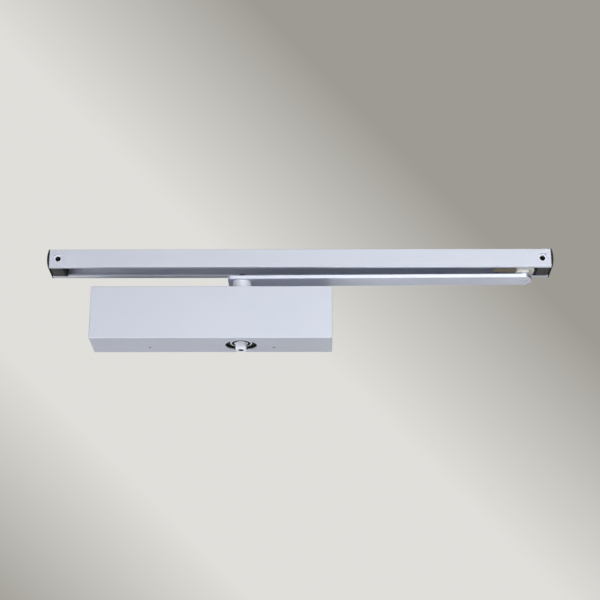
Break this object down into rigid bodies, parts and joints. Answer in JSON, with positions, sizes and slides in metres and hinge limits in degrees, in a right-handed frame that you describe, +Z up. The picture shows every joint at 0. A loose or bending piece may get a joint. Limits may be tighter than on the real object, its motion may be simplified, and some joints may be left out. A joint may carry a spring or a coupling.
{
  "type": "slide arm door closer",
  "caption": "Surface-mounted hydraulic door closer: a silver box cover over a spring and piston unit, with a flat arm on its spindle and a slide block that runs in a slotted frame rail.",
  "frame": {"origin": "middle of the closer's four door fixing holes, on the door face", "axes": "+X along the door towards the slide block's rest place, +Y into the door, +Z up"},
  "size_m": [0.4921, 0.043, 0.0978],
  "materials": {
    "silver_satin": "satin silver, anodised",
    "cast_body": "die cast, black coated",
    "polished_arm": "bright plated",
    "bright_steel": "machined, zinc plated",
    "dark_steel": "blackened",
    "spring_steel": "oil tempered wire",
    "bronze": "sintered bronze",
    "brass": "machined brass",
    "white_plastic": "moulded, off-white",
    "black_plastic": "moulded, black",
    "grey_plastic": "moulded, dark grey",
    "black_rubber": "oil resistant rubber"
  },
  "bodies": {
    "closer": {"housing": "cast_body", "cover": "silver_satin", "cover_screws": "dark_steel", "upper_bush": "bronze", "lower_bush": "bronze", "upper_bearing_cap": "bright_steel", "lower_bearing_cap": "bright_steel", "upper_shaft_seal": "black_rubber", "lower_shaft_seal": "black_rubber", "left_plug": "bright_steel", "right_plug": "bright_steel", "plug_o_rings": "black_rubber", "closing_spring": "spring_steel"},
    "adjuster": {"spring_adjuster": "dark_steel"},
    "seat": {"spring_seat": "dark_steel"},
    "piston": {"piston": "bright_steel", "piston_seal": "black_rubber", "check_ball": "bright_steel", "check_ball_stop": "bright_steel"},
    "sweep_valve": {"sweep_valve": "brass"},
    "latch_valve": {"latch_valve": "brass"},
    "arm": {"pinion_shaft": "bright_steel", "arm_hub": "polished_arm", "arm_bar": "polished_arm", "arm_screw": "dark_steel", "arm_washer": "bright_steel", "slide_pin": "bright_steel", "pin_clip": "spring_steel"},
    "slider": {"slide_block": "white_plastic", "slide_tail": "brass"},
    "rail": {"rail": "silver_satin", "left_rail_cap": "black_plastic", "right_rail_cap": "black_plastic", "left_fixing_block": "grey_plastic", "right_fixing_block": "grey_plastic", "left_fixing_sleeve": "bright_steel", "right_fixing_sleeve": "bright_steel", "left_buffer": "black_rubber", "right_buffer": "black_rubber"}
  },
  "joints": [
    {"name": "spindle_turn", "type": "hinge", "parent": "closer", "child": "arm", "pos_m": [0.0282, -0.0194, 0], "axis": [0, 0, 1], "range_deg": [0, 180], "stiffness_Nm_per_rad": 6, "springref_deg": -143.24},
    {"name": "piston_travel", "type": "slide", "parent": "closer", "child": "piston", "axis": [1, 0, 0], "range_m": [-0.0256, 0], "deforming": ["closing_spring"]},
    {"name": "slider_pivot", "type": "hinge", "parent": "arm", "child": "slider", "pos_m": [0.30267, -0.0233, 0.054], "axis": [0, 0, 1], "continuous": true},
    {"name": "rail_travel", "type": "slide", "parent": "slider", "child": "rail", "axis": [1, 0, 0], "range_m": [0, 0.4172]},
    {"name": "adjuster_turn", "type": "hinge", "parent": "closer", "child": "adjuster", "pos_m": [-0.1, -0.0194, 0], "axis": [1, 0, 0], "range_deg": [0, 2880]},
    {"name": "seat_travel", "type": "slide", "parent": "closer", "child": "seat", "axis": [1, 0, 0], "range_m": [0, 0.0101], "deforming": ["closing_spring"]},
    {"name": "sweep_valve_turn", "type": "hinge", "parent": "closer", "child": "sweep_valve", "pos_m": [0.1, -0.033, 0.0136], "axis": [-1, 0, 0], "range_deg": [-360, 360]},
    {"name": "latch_valve_turn", "type": "hinge", "parent": "closer", "child": "latch_valve", "pos_m": [0.1, -0.033, -0.0136], "axis": [-1, 0, 0], "range_deg": [-360, 360]}
  ],
  "couplings": [
    {"joint": "piston_travel", "follows": "spindle_turn", "m_per_rad": -0.008125},
    {"joint": "seat_travel", "follows": "adjuster_turn", "m_per_rad": 0.00019894}
  ]
}
